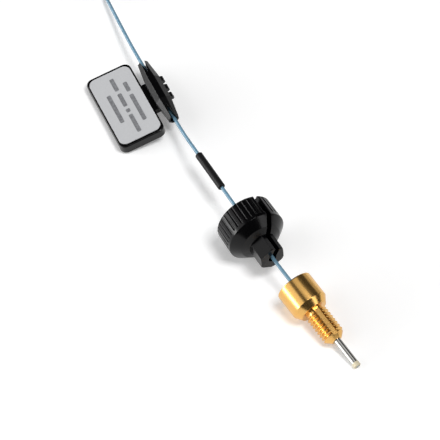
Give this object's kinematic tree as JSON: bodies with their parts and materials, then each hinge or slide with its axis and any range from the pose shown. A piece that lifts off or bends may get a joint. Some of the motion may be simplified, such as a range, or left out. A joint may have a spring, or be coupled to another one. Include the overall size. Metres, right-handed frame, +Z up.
{
  "type": "hplc capillary",
  "caption": "Blue capillary tube for liquid chromatography with a gold drive screw, ribbed thumb knob and steel-sleeved tip at each end, a clip-on tag, and its spare length in a tied coil.",
  "frame": {"origin": "on the table under the middle of the near fitting and the tag, without the coil and the far fitting", "axes": "+X along the tube towards the near tip, +Z up from the table"},
  "size_m": [0.1951, 0.0208, 0.0135],
  "materials": {
    "polymer_seal": "moulded engineering polymer, satin",
    "polished_steel": "drawn stainless tube, polished",
    "spring_steel": "bright spring steel",
    "gold_plate": "turned, gold-coloured plating, polished",
    "black_knob": "moulded black polymer, satin",
    "black_sleeve": "extruded black polymer, satin",
    "blue_tube": "extruded light blue polymer, semi-gloss",
    "black_tag": "moulded black polymer, semi-gloss",
    "grey_label": "silver-grey printed film, matt",
    "coil_band": "thin clear-white polymer band"
  },
  "bodies": {
    "root": {"near_tip_seal": "polymer_seal", "near_pressure_sleeve": "polished_steel", "near_stop_sleeve": "black_sleeve", "tube_near_run": "blue_tube", "tube_coil": "blue_tube", "tube_far_run": "blue_tube", "coil_tie_left": "coil_band", "coil_tie_right": "coil_band", "far_stop_sleeve": "black_sleeve", "far_pressure_sleeve": "polished_steel", "far_tip_seal": "polymer_seal"},
    "near_screw": {"near_drive_screw": "gold_plate", "near_spring_retainer": "gold_plate", "near_disc_springs": "spring_steel"},
    "near_knob": {"near_thumb_knob": "black_knob"},
    "tag": {"tag_plate": "black_tag", "tag_label": "grey_label"},
    "lid": {"clip_lid": "black_tag"},
    "far_screw": {"far_drive_screw": "gold_plate", "far_spring_retainer": "gold_plate", "far_disc_springs": "spring_steel"},
    "far_knob": {"far_thumb_knob": "black_knob"}
  },
  "joints": [
    {"name": "near_screw_turn", "type": "hinge", "parent": "root", "child": "near_screw", "pos_m": [0.03853, 0.00544, 0.00236], "axis": [0.9736, 0.123, -0.1921], "continuous": true},
    {"name": "near_knob_slide", "type": "slide", "parent": "root", "child": "near_knob", "axis": [1, 0, 0], "range_m": [-0.0088, 0]},
    {"name": "tag_swing", "type": "hinge", "parent": "root", "child": "tag", "pos_m": [-0.03461, 0.00453, 0.00445], "axis": [0.9953, -0.0947, 0.0196], "continuous": true},
    {"name": "clip_lid_open", "type": "hinge", "parent": "tag", "child": "lid", "pos_m": [-0.03444, 0.00643, 0.00483], "axis": [-0.9953, 0.0947, -0.0196], "range_deg": [0, 150]},
    {"name": "far_screw_turn", "type": "hinge", "parent": "root", "child": "far_screw", "pos_m": [-0.14029, 0.0029, 0.0026], "axis": [-0.9751, 0, -0.2219], "continuous": true},
    {"name": "far_knob_release", "type": "slide", "parent": "far_screw", "child": "far_knob", "axis": [0.9751, 0, 0.2219], "range_m": [0, 0.0044]}
  ]
}
